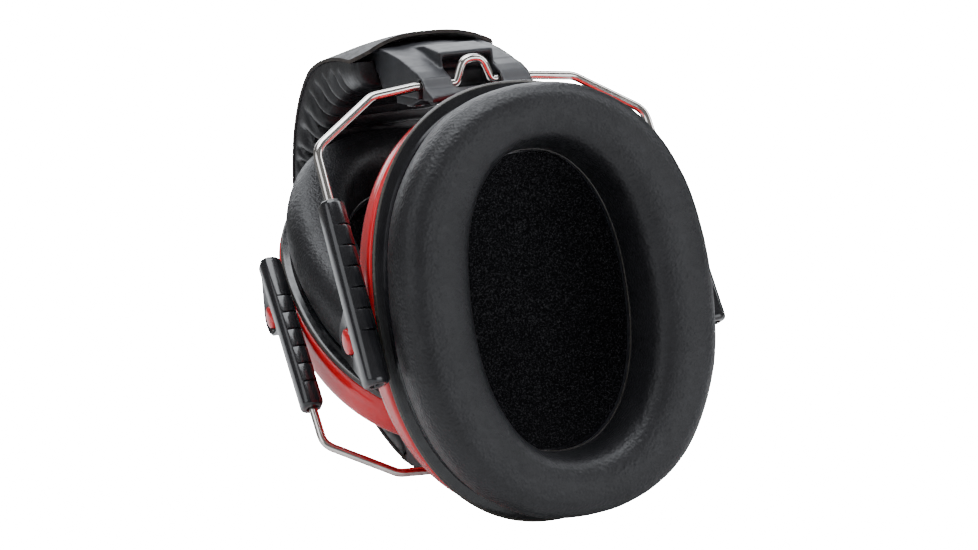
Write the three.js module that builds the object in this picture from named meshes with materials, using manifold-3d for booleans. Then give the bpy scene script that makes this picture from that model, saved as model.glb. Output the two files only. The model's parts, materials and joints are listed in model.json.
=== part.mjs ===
// Earmuff hearing protector: a padded headband, two wire yokes that fold into it,
// sliders that run on the yokes, and two ear cups that tilt between the sliders.
//
// Millimetres. The muff is drawn folded, lying as it is stored. In the group `muff`
// X runs across the band, Y towards the band's crown and Z towards the left cup's end
// of the band. The origin of that group is midway between the two fold axes.
import * as THREE from 'three';
import { mergeVertices } from 'three/addons/utils/BufferGeometryUtils.js';
import Module from 'manifold-3d';

const wasm = await Module();
wasm.setup();

const radians = THREE.MathUtils.degToRad;
const GAP = 0.35; // between pieces that touch

// ---------------------------------------------------------------- driving dimensions

const BAND = {
  halfSpan: 57.5, // outer face of the cover, from the middle plane
  rise: 82.5, // crown above the line where the arch ends
  foot: 10, // that line above the fold axes
  fullness: 2.4, // exponent of the superellipse
  halfWidth: 20,
  coverThickness: 1.5,
  padDepth: 12.5, // face of the pad below the outer face of the cover
  pressedPadDepth: 7.3, // where the stored right cup presses it, over the crown
  rightPadDepth: 9.6, // and where it presses it less, on the right arm
  thinHalfSpan: 17, // end of the thin stretch, from the middle plane
  fullHalfSpan: 31, // from here on the arms have their full depth
  filmThickness: 1.1,
  springDepth: 2.5,
  springThickness: 1,
  springHalfWidth: 11,
};

const HINGE = {
  axisSpread: 47.7, // fold axis from the middle plane
  halfWidth: 14,
  seat: 44.4, // where the housing and its retainer meet
  tongueTop: 44,
  retainerThickness: 2.4,
};

const WIRE = {
  radius: 1.15,
  shoulder: 26.4, // first bend, from the middle
  shoulderDrop: 1.3,
  leg: 42.7, // straight legs, from the middle
  elbow: 12.7, // second bend below the fold axis
  end: 64, // tip below the fold axis
  bendRadius: 2.6,
  crank: 5.5, // height of the stop crank in the housing's window
  crankHalfWidth: 4.6,
  crankAngle: 59.4,
};

const SLIDER = {
  length: 43.3,
  halfWidth: 2.7,
  halfDepth: 3.2,
  chamfer: 1.2,
  boreRadius: 1.5,
  plainEnd: 6.4, // smooth stretch before the grip tiles
  tilePitch: 5,
  tiles: 5,
  pivotDown: 30.6, // cup pivot from the end where the wire enters
  pivotIn: 6.8, // cup pivot towards the head from the wire
  earRadius: 5,
  earInner: 0.6,
};

const CUP = {
  squareness: 2.25, // exponent of the ovals
  centreDrop: 2.4, // middle of the ovals below the pivot
  mouth: -4.6, // open edge of the shell
  domeFullness: 3.6, // exponent of the dome's profile
  domeDepth: 13,
  wall: 2.2,
  shellHalfWidth: 39.3,
  plateHalfWidth: 39.4,
  plateInnerHalfWidth: 26,
  plateThickness: 2.6,
  ringThickness: 1.2,
  cushionHalfWidth: 39.2,
  cushionFront: -24.2,
  earHoleHalfWidth: 20.3,
  studRadius: 3,
  shankRadius: 1.8,
  bossRadius: 3.2,
  bossFace: 41.9,
};

// How each side is folded away: yoke about its fold axis, slider along the wire,
// cup about its pivot.
const SIDES = [
  { name: 'left', turn: 0, fold: 58.8, extension: 13.35, tilt: -161.1 },
  { name: 'right', turn: 180, fold: 131.5, extension: 10, tilt: -161.5 },
];

const STORAGE_TILT = 6.3; // the folded muff leans on its left cup

// ---------------------------------------------------------------- solids

function toSolid(geometry) {
  const bare = geometry.clone();
  bare.deleteAttribute('normal');
  bare.deleteAttribute('uv');
  const merged = mergeVertices(bare, 1e-4);
  return new wasm.Manifold(new wasm.Mesh({
    numProp: 3,
    vertProperties: merged.attributes.position.array,
    triVerts: Uint32Array.from(merged.index.array),
  }));
}

function toGeometry(solid) {
  const mesh = solid.getMesh();
  const geometry = new THREE.BufferGeometry();
  geometry.setAttribute('position', new THREE.BufferAttribute(mesh.vertProperties, 3));
  geometry.setIndex(new THREE.BufferAttribute(mesh.triVerts, 1));
  geometry.computeVertexNormals();
  return geometry;
}

function join(first, ...others) {
  const whole = others.reduce((sum, other) => sum.add(toSolid(other)), toSolid(first));
  return toGeometry(whole);
}

function cut(blank, ...tools) {
  const left = tools.reduce((sum, tool) => sum.subtract(toSolid(tool)), toSolid(blank));
  return toGeometry(left);
}

const material = (color, roughness, metalness = 0) =>
  new THREE.MeshStandardMaterial({ color, roughness, metalness });

const MATERIALS = {
  cover: () => material(0x17171a, 0.75),
  film: () => material(0x101012, 0.45),
  foam: () => material(0x1b1b1d, 0.95),
  plastic: () => material(0x18181b, 0.3),
  housing: () => material(0x202125, 0.5),
  red: () => material(0xc81e1e, 0.18),
  steel: () => material(0xc9c6c0, 0.2, 1),
};

function piece(name, geometry, look) {
  const mesh = new THREE.Mesh(geometry, MATERIALS[look]());
  mesh.name = name;
  return mesh;
}

function group(...children) {
  const holder = new THREE.Group();
  children.forEach((child) => holder.add(child));
  return holder;
}

// ---------------------------------------------------------------- shared shapes

// An outline in the plane of the arch, given as [y, z], made into a slab across X.
const ARCH_PLANE = new THREE.Matrix4().makeBasis(
  new THREE.Vector3(0, 1, 0),
  new THREE.Vector3(0, 0, 1),
  new THREE.Vector3(1, 0, 0),
);

function slab(outline, halfWidth, middle = 0) {
  const shape = outline instanceof THREE.Shape
    ? outline
    : new THREE.Shape(outline.map(([y, z]) => new THREE.Vector2(y, z)));
  const geometry = new THREE.ExtrudeGeometry(shape, {
    depth: 2 * halfWidth,
    bevelEnabled: false,
    curveSegments: 10,
  });
  geometry.translate(0, 0, middle - halfWidth);
  return geometry.applyMatrix4(ARCH_PLANE);
}

const bar = (radius, length, sides = 20) => new THREE.CylinderGeometry(radius, radius, length, sides);
const barAlongX = (radius, length, sides) => bar(radius, length, sides).rotateZ(Math.PI / 2);
const barAlongZ = (radius, length, sides) => bar(radius, length, sides).rotateX(Math.PI / 2);

// Point of the band's arch, `depth` below the outer face of its cover. The angle runs
// from 0 at the left foot to pi at the right foot.
function archPoint(angle, depth) {
  const power = 2 / BAND.fullness;
  const onSkin = (a) => new THREE.Vector2(
    BAND.foot + BAND.rise * Math.sin(a) ** power,
    BAND.halfSpan * Math.sign(Math.cos(a)) * Math.abs(Math.cos(a)) ** power,
  );
  const step = 0.004;
  const before = onSkin(Math.max(angle - step, 1e-6));
  const after = onSkin(Math.min(angle + step, Math.PI - 1e-6));
  const along = after.sub(before).normalize();
  const point = onSkin(Math.min(Math.max(angle, 1e-6), Math.PI - 1e-6));
  return [point.x - along.y * -depth, point.y + along.x * -depth];
}

// Angle at which the arch passes a height above the fold axes.
function archAngle(height) {
  return Math.asin(((height - BAND.foot) / BAND.rise) ** (BAND.fullness / 2));
}

// Outline between two depths, which are numbers or functions of the angle.
function archStrip(shallow, deep, fromAngle, toAngle, steps) {
  const stride = (toAngle - fromAngle) / steps;
  const angles = Array.from({ length: steps + 1 }, (_, i) => fromAngle + i * stride);
  const at = (depth, angle) => archPoint(angle, typeof depth === 'function' ? depth(angle) : depth);
  const outer = angles.map((angle) => at(shallow, angle));
  const inner = angles.map((angle) => at(deep, angle)).reverse();
  return [...outer, ...inner];
}

function wholeArch(shallow, deep, footHeight, steps = 36) {
  const start = archAngle(footHeight);
  return archStrip(shallow, deep, start, Math.PI - start, steps);
}

// A closed profile [radius, z] turned about Z and stretched to the cups' oval.
// `lengthen` gives the half length of the oval from its half width.
function ovalTurned(profile, lengthen, segments = 44) {
  const area = profile.reduce((sum, [r, z], i) => {
    const [nextR, nextZ] = profile[(i + 1) % profile.length];
    return sum + r * nextZ - nextR * z;
  }, 0);
  const loop = area > 0 ? [...profile] : [...profile].reverse();
  const closed = loop[0][0] === 0 ? loop : [...loop, loop[0]];
  const geometry = new THREE.LatheGeometry(closed.map(([r, z]) => new THREE.Vector2(r, z)), segments);
  geometry.rotateX(Math.PI / 2);
  const position = geometry.attributes.position;
  const power = 2 / CUP.squareness;
  const squared = (value) => Math.sign(value) * Math.abs(value) ** power;
  for (let i = 0; i < position.count; i += 1) {
    const x = position.getX(i);
    const y = position.getY(i);
    const radius = Math.hypot(x, y);
    if (radius > 1e-6) {
      position.setX(i, radius * squared(x / radius));
      position.setY(i, lengthen(radius) * squared(y / radius) - CUP.centreDrop);
    } else {
      position.setY(i, -CUP.centreDrop);
    }
  }
  geometry.deleteAttribute('normal');
  return toGeometry(toSolid(geometry));
}

const shellLength = (radius) => 1.285 * radius;

// The ear opening is a slimmer oval than the cushion's outside.
function cushionLength(radius) {
  const share = (radius - CUP.earHoleHalfWidth) / (CUP.cushionHalfWidth - CUP.earHoleHalfWidth);
  return radius + THREE.MathUtils.lerp(13.4, 9.4, share);
}

// ---------------------------------------------------------------- headband

// How high above the fold axes each layer of the band ends.
const FOOT = { cover: 26, spring: 28.5, pad: 30, foam: 48 };
const PAD_TOP = BAND.coverThickness + GAP;
const PAD_HALF_WIDTH = BAND.halfWidth - 0.5;

function headbandCover() {
  return slab(wholeArch(0, BAND.coverThickness, FOOT.cover), BAND.halfWidth);
}

function headbandSpring() {
  const { springDepth, springThickness, springHalfWidth } = BAND;
  return slab(wholeArch(springDepth, springDepth + springThickness, FOOT.spring), springHalfWidth);
}

// The pad is full on the left arm, and pressed flatter where the right cup is stored.
function padFace(angle) {
  const across = archPoint(angle, 0)[1];
  const armDepth = across > 0 ? BAND.padDepth : BAND.rightPadDepth;
  const fullness = THREE.MathUtils.smoothstep(Math.abs(across), BAND.thinHalfSpan, BAND.fullHalfSpan);
  return THREE.MathUtils.lerp(BAND.pressedPadDepth, armDepth, fullness);
}

// A trough of film that wraps the foam, the spring and the housings' tongues.
function headbandPad() {
  const { filmThickness } = BAND;
  const trough = slab(wholeArch(PAD_TOP, padFace, FOOT.pad), PAD_HALF_WIDTH);
  const inside = slab(
    wholeArch(PAD_TOP - 1, (angle) => padFace(angle) - filmThickness, FOOT.pad - 2),
    PAD_HALF_WIDTH - filmThickness,
  );
  return cut(trough, inside);
}

// Foam under the spring, from one hinge's tongue to the other's.
function headbandFoam() {
  const top = BAND.springDepth + BAND.springThickness + GAP;
  const bottom = (angle) => padFace(angle) - BAND.filmThickness - GAP;
  return slab(wholeArch(top, bottom, FOOT.foam), PAD_HALF_WIDTH - BAND.filmThickness - GAP);
}

// ---------------------------------------------------------------- fold hinge

// Outline of the housing in the arch plane: outer skin first, then the inner side.
const HOUSING_SKIN = [[30, 54.5], [13.5, 53.6], [2, 51], [-1.4, 49.6], [-3.3, 47.4], [-7.5, 45.8], [-13.6, 45]];
const HOUSING_INSIDE = [[-13.6, 43.4], [-11.2, 43], [-11.2, HINGE.seat], [25, HINGE.seat], [30, 50.5]];
const CRANK_TUNNEL = [[2.6, 50], [3.4, 55], [13.5, 56.2], [23, 55.6], [25.5, 54.4], [25.5, 52]];
const CRANK_POCKET = [
  [-3.8, 45.9], [7.3, 45.9], [7.3, 50.3], [6.2, 52.1], [3.4, 54], [3.4, 60], [-3.8, 60],
];

// The stored cup lies close under the hinge and swings past it as the yoke opens, so the
// hinge is relieved by the cup's own outline, a little larger, at these opening angles.
const RELIEF = { grow: 0.7, openings: [0, 12, 24, 36] };

function cupReliefs() {
  const { grow, openings } = RELIEF;
  const grown = ovalTurned([
    [0, -9], [CUP.plateHalfWidth + grow, -9],
    ...domeProfile(CUP.shellHalfWidth + grow, CUP.domeDepth + grow, -6),
  ], shellLength);
  return SIDES.flatMap((side) => openings.map((opening) => {
    const folded = foldedSide({ ...side, fold: side.fold - opening }, [], [], []);
    folded.updateMatrixWorld(true);
    return grown.clone().applyMatrix4(folded.getObjectByName(`${side.name}_cup`).matrixWorld);
  }));
}

const SCREWS = { up: 17.5, out: 8.5, headRadius: 2.2, shankRadius: 1.2, headFace: 41.1, tip: 50 };

function screwHoles() {
  const length = SCREWS.tip + 1 - SCREWS.headFace;
  const middle = SCREWS.headFace + length / 2;
  return [-1, 1].map((side) =>
    barAlongZ(SCREWS.shankRadius + GAP, length, 14).translate(side * SCREWS.out, SCREWS.up, middle));
}

function hingeHousing() {
  const { axisSpread, halfWidth, tongueTop } = HINGE;
  const block = slab([...HOUSING_SKIN, ...HOUSING_INSIDE], halfWidth);
  const tongue = slab(archStrip(PAD_TOP, 7.4, archAngle(24), archAngle(tongueTop), 6), halfWidth);
  const tunnel = slab(CRANK_TUNNEL, 7);
  const springGroove = slab(
    archStrip(0, BAND.springDepth + BAND.springThickness + GAP, archAngle(28), archAngle(50), 8),
    BAND.springHalfWidth + GAP,
  );
  const pocket = slab(CRANK_POCKET, WIRE.crankHalfWidth + WIRE.radius + 0.6);
  const wireSlot = slab(
    [[-1.5, HINGE.seat - 1.5], [1.5, HINGE.seat - 1.5], [1.5, axisSpread], [-1.5, axisSpread]],
    halfWidth + 1,
  );
  const wireBore = barAlongX(1.5, 2 * halfWidth + 2).translate(0, 0, axisSpread);
  const shaped = join(block, tongue, tunnel);
  return cut(shaped, springGroove, pocket, wireSlot, wireBore, ...screwHoles(), ...cupReliefs());
}

// Ribbed plate that closes the housing and holds the wire up in its slot.
function hingeRetainer() {
  const top = HINGE.seat - GAP;
  const bottom = top - HINGE.retainerThickness;
  const plate = slab([[-10.8, bottom], [24, bottom], [24, top], [-10.8, top]], HINGE.halfWidth - 0.8);
  const rib = (y) => slab(
    [[y, bottom - 1], [y + 1.4, bottom - 1], [y + 1.4, bottom + 0.5], [y, bottom + 0.5]],
    HINGE.halfWidth - 2,
  );
  const saddle = (side) => slab(
    [[-1.1, top - 1], [1.1, top - 1], [1.1, top + 1.9], [-1.1, top + 1.9]],
    2.4,
    side * 10.2,
  );
  const ribs = [-9, -6, -3, 0, 3].map(rib);
  const saddles = [-1, 1].map(saddle);
  return cut(join(plate, ...ribs, ...saddles), ...screwHoles(), ...cupReliefs());
}

// Screw from the retainer into the housing, head on the inner side.
function hingeScrew(side) {
  const underHead = HINGE.seat - 2 * GAP - HINGE.retainerThickness;
  const profile = [
    [0, SCREWS.headFace], [SCREWS.headRadius, SCREWS.headFace], [SCREWS.headRadius, underHead],
    [SCREWS.shankRadius, underHead], [SCREWS.shankRadius, SCREWS.tip], [0, SCREWS.tip],
  ];
  const lathe = new THREE.LatheGeometry(profile.map(([r, z]) => new THREE.Vector2(r, z)), 14);
  return lathe.rotateX(Math.PI / 2).translate(side * SCREWS.out, SCREWS.up, 0);
}

// ---------------------------------------------------------------- yoke wire

// A polyline with its corners rounded off, as a curve that can be swept along.
class BentWire extends THREE.CurvePath {
  constructor(points, bendRadius) {
    super();
    let from = points[0];
    for (let i = 1; i < points.length - 1; i += 1) {
      const inward = points[i - 1].clone().sub(points[i]);
      const outward = points[i + 1].clone().sub(points[i]);
      const bend = Math.PI - inward.angleTo(outward);
      const longest = 0.45 * Math.min(inward.length(), outward.length());
      const reach = Math.min(bendRadius * Math.tan(bend / 2), longest);
      const start = points[i].clone().addScaledVector(inward.normalize(), reach);
      const stop = points[i].clone().addScaledVector(outward.normalize(), reach);
      this.add(new THREE.LineCurve3(from, start));
      this.add(new THREE.QuadraticBezierCurve3(start, points[i], stop));
      from = stop;
    }
    this.add(new THREE.LineCurve3(from, points[points.length - 1]));
  }
}

function roundSection(radius, sides) {
  const corners = Array.from({ length: sides }, (_, i) => {
    const angle = (2 * Math.PI * i) / sides;
    return new THREE.Vector2(radius * Math.cos(angle), radius * Math.sin(angle));
  });
  return new THREE.Shape(corners);
}

function yokeWire() {
  const lift = new THREE.Vector3(0, Math.sin(radians(WIRE.crankAngle)), Math.cos(radians(WIRE.crankAngle)));
  const crankTop = WIRE.crankHalfWidth - 2.2;
  const half = [
    new THREE.Vector3(-WIRE.leg, -WIRE.end, 0),
    new THREE.Vector3(-WIRE.leg, -WIRE.elbow, 0),
    new THREE.Vector3(-WIRE.shoulder, -WIRE.shoulderDrop, 0),
    new THREE.Vector3(-HINGE.halfWidth - 1.5, 0, 0),
    new THREE.Vector3(-WIRE.crankHalfWidth, 0, 0),
    new THREE.Vector3(-crankTop, 0, 0).addScaledVector(lift, WIRE.crank),
  ];
  const mirrored = half.map((p) => new THREE.Vector3(-p.x, p.y, p.z)).reverse();
  const path = new BentWire([...half, ...mirrored], WIRE.bendRadius);
  const swept = new THREE.ExtrudeGeometry(roundSection(WIRE.radius, 8), { steps: 100, extrudePath: path });
  return toGeometry(toSolid(swept));
}

// ---------------------------------------------------------------- sliders

// The slider is drawn about the wire, with its entry end at the origin and its body
// down -Y. Its ear reaches towards the head (-Z) at the cup's pivot; `outside` is the
// sign of the X direction that faces away from the cup.
function slider(outside) {
  const { length, halfWidth, halfDepth, chamfer, pivotDown, pivotIn, earRadius } = SLIDER;
  const corner = new THREE.Shape([
    [halfWidth - chamfer, halfDepth], [halfWidth, halfDepth - chamfer],
    [halfWidth, chamfer - halfDepth], [halfWidth - chamfer, -halfDepth],
    [chamfer - halfWidth, -halfDepth], [-halfWidth, chamfer - halfDepth],
    [-halfWidth, halfDepth - chamfer], [chamfer - halfWidth, halfDepth],
  ].map(([x, y]) => new THREE.Vector2(x, y)));
  const body = new THREE.ExtrudeGeometry(corner, { depth: length, bevelEnabled: false });
  body.rotateX(Math.PI / 2);

  const ear = new THREE.Shape();
  ear.moveTo(-pivotDown + earRadius + 3, -halfDepth + 0.4);
  ear.absarc(-pivotDown, -pivotIn, earRadius, 0.15 * Math.PI, 1.25 * Math.PI, true);
  ear.lineTo(-length + 1, -halfDepth + 0.4);
  ear.closePath();
  const inner = SLIDER.earInner;
  const earThickness = halfWidth + inner;
  const earPlate = slab(ear, earThickness / 2, (outside * (halfWidth - inner)) / 2);

  const bore = bar(SLIDER.boreRadius, length + 2, 12).translate(0, -length / 2, 0);
  const earHole = barAlongX(CUP.studRadius + GAP, 12, 18).translate(0, -pivotDown, -pivotIn);
  const grooves = Array.from({ length: SLIDER.tiles + 1 }, (_, i) =>
    new THREE.BoxGeometry(2 * halfWidth + 1, 0.5, 1)
      .translate(0, -SLIDER.plainEnd - i * SLIDER.tilePitch, halfDepth + 0.1));
  return cut(join(body, earPlate), bore, earHole, ...grooves);
}

// ---------------------------------------------------------------- ear cup

// Half width of the dome at a height above the pivot.
function domeRadius(z, depth, halfWidth) {
  return halfWidth * (1 - (z / depth) ** CUP.domeFullness) ** (1 / CUP.domeFullness);
}

function domeProfile(halfWidth, depth, mouth) {
  const heights = [0.25, 0.45, 0.62, 0.76, 0.87, 0.95].map((share) => share * depth);
  return [
    [halfWidth, mouth],
    [halfWidth - 0.6, 0],
    ...heights.map((z) => [domeRadius(z, depth, halfWidth - 0.6), z]),
    [0, depth],
  ];
}

// Dome with a boss on each side for the pivot studs.
function cupShell() {
  const { wall, mouth, domeDepth, shellHalfWidth, bossRadius, bossFace, shankRadius } = CUP;
  const bossLength = 7;
  const outside = domeProfile(shellHalfWidth, domeDepth, mouth);
  const inside = domeProfile(shellHalfWidth - wall, domeDepth - wall, mouth);
  const dome = ovalTurned([...outside, ...[...inside].reverse()], shellLength);
  const hollow = ovalTurned([...inside, [0, mouth]], shellLength);
  const bosses = [-1, 1].map((side) =>
    barAlongX(bossRadius, bossLength, 18).translate(side * (bossFace - bossLength / 2), 0, 0));
  const sockets = [-1, 1].map((side) =>
    barAlongX(shankRadius + GAP, 12, 14).translate(side * bossFace, 0, 0));
  return cut(join(dome, ...bosses), hollow, ...sockets);
}

// Stiff black ring round the shell's mouth.
function cupPlate() {
  const { plateHalfWidth, plateInnerHalfWidth, plateThickness } = CUP;
  const top = CUP.mouth - GAP;
  const bottom = top - plateThickness;
  return ovalTurned([
    [plateHalfWidth, top], [plateHalfWidth, bottom + 0.6], [plateHalfWidth - 1.2, bottom],
    [plateInnerHalfWidth, bottom], [plateInnerHalfWidth, top],
  ], shellLength);
}

// Open-cell foam dish that lines the shell.
function cupFoam() {
  const edge = CUP.mouth + 1;
  const half = CUP.shellHalfWidth - CUP.wall - GAP - 2.2;
  const depth = CUP.domeDepth - CUP.wall - GAP - 0.8;
  const back = domeProfile(half, depth, edge);
  const face = [[0, 4], [17, 3.4], [24, 0.4], [27, edge]];
  return ovalTurned([...back, ...face], shellLength);
}

// Flat ring that the cushion is welded to.
function cushionRing() {
  const top = CUP.mouth - GAP - CUP.plateThickness - GAP;
  const bottom = top - CUP.ringThickness;
  return ovalTurned([[37, top], [37, bottom], [21.5, bottom], [21.5, top]], cushionLength);
}

const CUSHION_BASE = CUP.mouth - CUP.plateThickness - CUP.ringThickness - 3 * GAP;

// Film that wraps the cushion, open at its welded base.
function cushionCover() {
  const front = CUP.cushionFront;
  const outer = [
    [36.8, CUSHION_BASE], [38.5, -12], [CUP.cushionHalfWidth, -16.5], [38.2, -20.4], [36.2, -22.9],
    [33.4, front], [29, front], [25.6, -22.7], [22.6, -19.4],
    [CUP.earHoleHalfWidth, -14], [21.2, CUSHION_BASE],
  ];
  const inner = [
    [22.6, CUSHION_BASE], [21.7, -14], [23.9, -18.8], [26.4, -21.6], [29.3, front + 1.2],
    [33.1, front + 1.2], [35.4, -21.8], [37, -19.8], [37.9, -16.4], [37.2, -12.2], [35.6, CUSHION_BASE],
  ];
  return ovalTurned([...outer, ...inner], cushionLength);
}

function cushionFoam() {
  return ovalTurned([
    [35, CUSHION_BASE], [36.7, -12.4], [37.3, -16.2], [36.3, -19.2], [33, -22.5],
    [29.5, -22.5], [25, -18.9], [22.6, -14], [23.1, CUSHION_BASE],
  ], cushionLength);
}

// Snap stud in the slider's ear, on the cup's -X or +X side.
function pivotStud(side) {
  const { studRadius, shankRadius } = CUP;
  const profile = [
    [0, 37.6], [shankRadius, 37.6], [shankRadius, CUP.bossFace + GAP], [studRadius, CUP.bossFace + GAP],
    [studRadius, 44.6], [studRadius - 0.7, 45.2], [0, 45.3],
  ];
  const lathe = new THREE.LatheGeometry(profile.map(([r, x]) => new THREE.Vector2(r, x)), 18);
  lathe.rotateZ(-Math.PI / 2);
  return side > 0 ? lathe : lathe.rotateZ(Math.PI);
}

// ---------------------------------------------------------------- assembly

// `front` is the side of the muff at -X, whichever way a side's group is turned.
const placeName = (x) => (x < 0 ? 'front' : 'rear');

function cup(side, facing) {
  const studs = [-1, 1].map((end) =>
    piece(`${side.name}_pivot_stud_${placeName(end * facing)}`, pivotStud(end), 'red'));
  return [
    piece(`${side.name}_cup_shell`, cupShell(), 'red'),
    piece(`${side.name}_cup_plate`, cupPlate(), 'plastic'),
    piece(`${side.name}_cup_foam`, cupFoam(), 'foam'),
    piece(`${side.name}_cushion_ring`, cushionRing(), 'plastic'),
    piece(`${side.name}_cushion_foam`, cushionFoam(), 'foam'),
    piece(`${side.name}_cushion_cover`, cushionCover(), 'film'),
    ...studs,
  ];
}

function hinge(side, facing) {
  const screws = [-1, 1].map((end) =>
    piece(`${side.name}_hinge_screw_${placeName(end * facing)}`, hingeScrew(end), 'steel'));
  return [
    piece(`${side.name}_hinge_housing`, hingeHousing(), 'housing'),
    piece(`${side.name}_hinge_retainer`, hingeRetainer(), 'housing'),
    ...screws,
  ];
}

// Nested groups for one side, one inside the other: yoke, sliders, cup.
function foldedSide(side, onYoke, onSliders, onCup) {
  const cupGroup = group(...onCup);
  cupGroup.name = `${side.name}_cup`;
  cupGroup.position.set(0, -SLIDER.pivotDown, -SLIDER.pivotIn);
  cupGroup.rotation.x = radians(side.tilt);

  const sliderGroup = group(...onSliders, cupGroup);
  sliderGroup.name = `${side.name}_sliders`;
  sliderGroup.position.y = -WIRE.elbow - side.extension;

  const yoke = group(...onYoke, sliderGroup);
  yoke.name = `${side.name}_yoke`;
  yoke.position.z = HINGE.axisSpread;
  yoke.rotation.x = radians(side.fold);
  return yoke;
}

function sideOfMuff(side) {
  const facing = side.turn === 0 ? 1 : -1;
  const sliders = [-1, 1].map((end) => {
    const mesh = piece(`${side.name}_slider_${placeName(end * facing)}`, slider(end), 'plastic');
    mesh.position.x = end * WIRE.leg;
    return mesh;
  });
  const wire = piece(`${side.name}_yoke_wire`, yokeWire(), 'steel');
  const whole = group(...hinge(side, facing), foldedSide(side, [wire], sliders, cup(side, facing)));
  whole.rotation.y = radians(side.turn);
  return whole;
}

const headband = group(
  piece('headband_cover', headbandCover(), 'cover'),
  piece('headband_spring', headbandSpring(), 'steel'),
  piece('headband_pad', headbandPad(), 'film'),
  piece('headband_foam', headbandFoam(), 'foam'),
);

const muff = group(headband, ...SIDES.map(sideOfMuff));
muff.rotation.x = radians(STORAGE_TILT);

// Stand the muff on Z = 0 with the middle of its footprint at the origin.
const earmuff = group(muff);
earmuff.updateMatrixWorld(true);
const bounds = new THREE.Box3().setFromObject(muff, true);
const middle = bounds.getCenter(new THREE.Vector3());
muff.position.set(-middle.x, -middle.y, -bounds.min.z);

export default earmuff;
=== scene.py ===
"""Earmuff hearing protector: the visual model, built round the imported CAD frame.

Shapes are drawn in millimetres in the same local frames as the CAD model (muff, yoke,
slider, cup) and are placed in metres by the joints that the frame reports.
"""
import json
import math

import bmesh
import bpy
from mathutils import Matrix, Vector, noise


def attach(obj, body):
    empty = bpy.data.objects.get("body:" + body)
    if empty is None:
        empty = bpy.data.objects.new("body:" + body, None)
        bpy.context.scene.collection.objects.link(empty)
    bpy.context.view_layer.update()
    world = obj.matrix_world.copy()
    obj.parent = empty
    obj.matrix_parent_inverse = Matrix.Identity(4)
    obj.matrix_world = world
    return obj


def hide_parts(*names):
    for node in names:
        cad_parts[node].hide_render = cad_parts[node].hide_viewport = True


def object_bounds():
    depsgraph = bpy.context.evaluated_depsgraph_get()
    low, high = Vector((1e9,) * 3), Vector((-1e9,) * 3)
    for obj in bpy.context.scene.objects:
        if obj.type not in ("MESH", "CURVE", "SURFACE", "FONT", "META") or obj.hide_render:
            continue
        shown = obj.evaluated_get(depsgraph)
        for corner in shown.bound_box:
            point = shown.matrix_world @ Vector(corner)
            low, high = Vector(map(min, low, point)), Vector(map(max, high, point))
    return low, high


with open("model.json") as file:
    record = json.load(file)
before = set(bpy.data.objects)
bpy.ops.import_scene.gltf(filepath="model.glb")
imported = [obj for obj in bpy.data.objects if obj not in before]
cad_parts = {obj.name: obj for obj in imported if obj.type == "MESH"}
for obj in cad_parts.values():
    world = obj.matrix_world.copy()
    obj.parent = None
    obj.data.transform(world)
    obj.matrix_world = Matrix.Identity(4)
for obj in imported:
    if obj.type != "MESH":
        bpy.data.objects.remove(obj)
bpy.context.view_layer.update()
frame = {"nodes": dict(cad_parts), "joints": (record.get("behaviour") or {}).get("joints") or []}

MM = 0.001
SIDES = ("left", "right")

# ------------------------ driving dimensions

# The band's outer face follows a superellipse between its two feet. Depths of the band's
# layers are measured inward from that face.
ARCH = {"half_span": 57.5, "rise": 82.5, "foot": 10.0, "fullness": 2.4}
# The stored arm is the one that is squeezed between the folded cups.
COVER = {
    "thickness": 0.95, "half_width": 19.8, "crown": 2.0, "curl": 5.5, "loft": 2.5, "foot": 26.0,
    "stored_curl": 9.0, "stored_squeeze": 4.8, "end_taper": 9.0, "end_narrowing": 3.0,
}
PAD = {
    "top": 1.25, "face": 11.8, "pressed_face": 6.9, "right_face": 9.0, "thin_span": 20.0,
    "full_span": 34.0, "half_width": 19.4, "foot": 30.0, "film": 1.1, "cheek": 14.6,
    "fold_pitch": 7.4, "fold_depth": 4.4,
}
BAND_FOAM = {"top": 3.85, "half_width": 14.0, "foot": 48.0}
WIRE = {
    "radius": 1.1, "shoulder": 26.4, "shoulder_drop": 1.3, "leg": 42.7, "elbow": 12.7, "end": 64.0,
    "bend": 5.0, "crank_bend": 3.2, "crank_foot_bend": 1.3, "crank": 5.5, "crank_half_width": 4.6,
    "crank_slope": 2.2, "crank_angle": 59.4, "in_housing": 15.5,
}
SLIDER = {
    "length": 43.3, "half_width": 2.7, "half_depth": 3.2, "chamfer": 1.2, "bore": 1.45,
    "plain_end": 6.4, "pitch": 5.0, "tiles": 5, "plain_sink": 0.18, "groove": 0.55,
    "pivot_down": 30.6, "pivot_in": 6.8, "ear_radius": 5.0, "ear_inner": 0.6,
}
CUP = {
    "squareness": 2.25, "centre_drop": 2.4, "mouth": -4.6, "dome": 13.0, "fullness": 3.6,
    "wall": 2.2, "half_width": 39.5, "plate": 39.0, "plate_inner": 26.0, "ring": 36.1,
    "ring_inner": 21.5, "cushion": 38.4, "cushion_base": -9.45, "front": -24.2, "ear_hole": 20.3,
    "boss": 3.2, "boss_root": 36.2, "boss_face": 41.9, "stud": 3.0, "stud_shank": 1.8,
    "shank_start": 37.6, "stud_cap": 44.5,
    # half lengths: the shell and the plate are scaled, the cushion's outlines are lengthened
    "longer": 1.285, "shell_trim": 0.8, "plate_lip": 0.7, "hole_extra": 13.4, "cushion_extra": 10.1,
}
CUP_TILT = {"left": -161.1, "right": -161.5}  # cup against its yoke, folded away
HOUSING = {"near": 6.3, "far": 34.0, "half_width": 14.0, "roof_base": 50.5}
RETAINER_WIDTH = 0.84  # share of the CAD plate's width
SCREW = {"across": 8.5, "along": 17.5, "head": 41.9, "socket": 0.95, "shank": 1.2, "tip": 50.0}

# ------------------------ local frames

joints = {joint["name"]: joint for joint in frame["joints"]}


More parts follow.
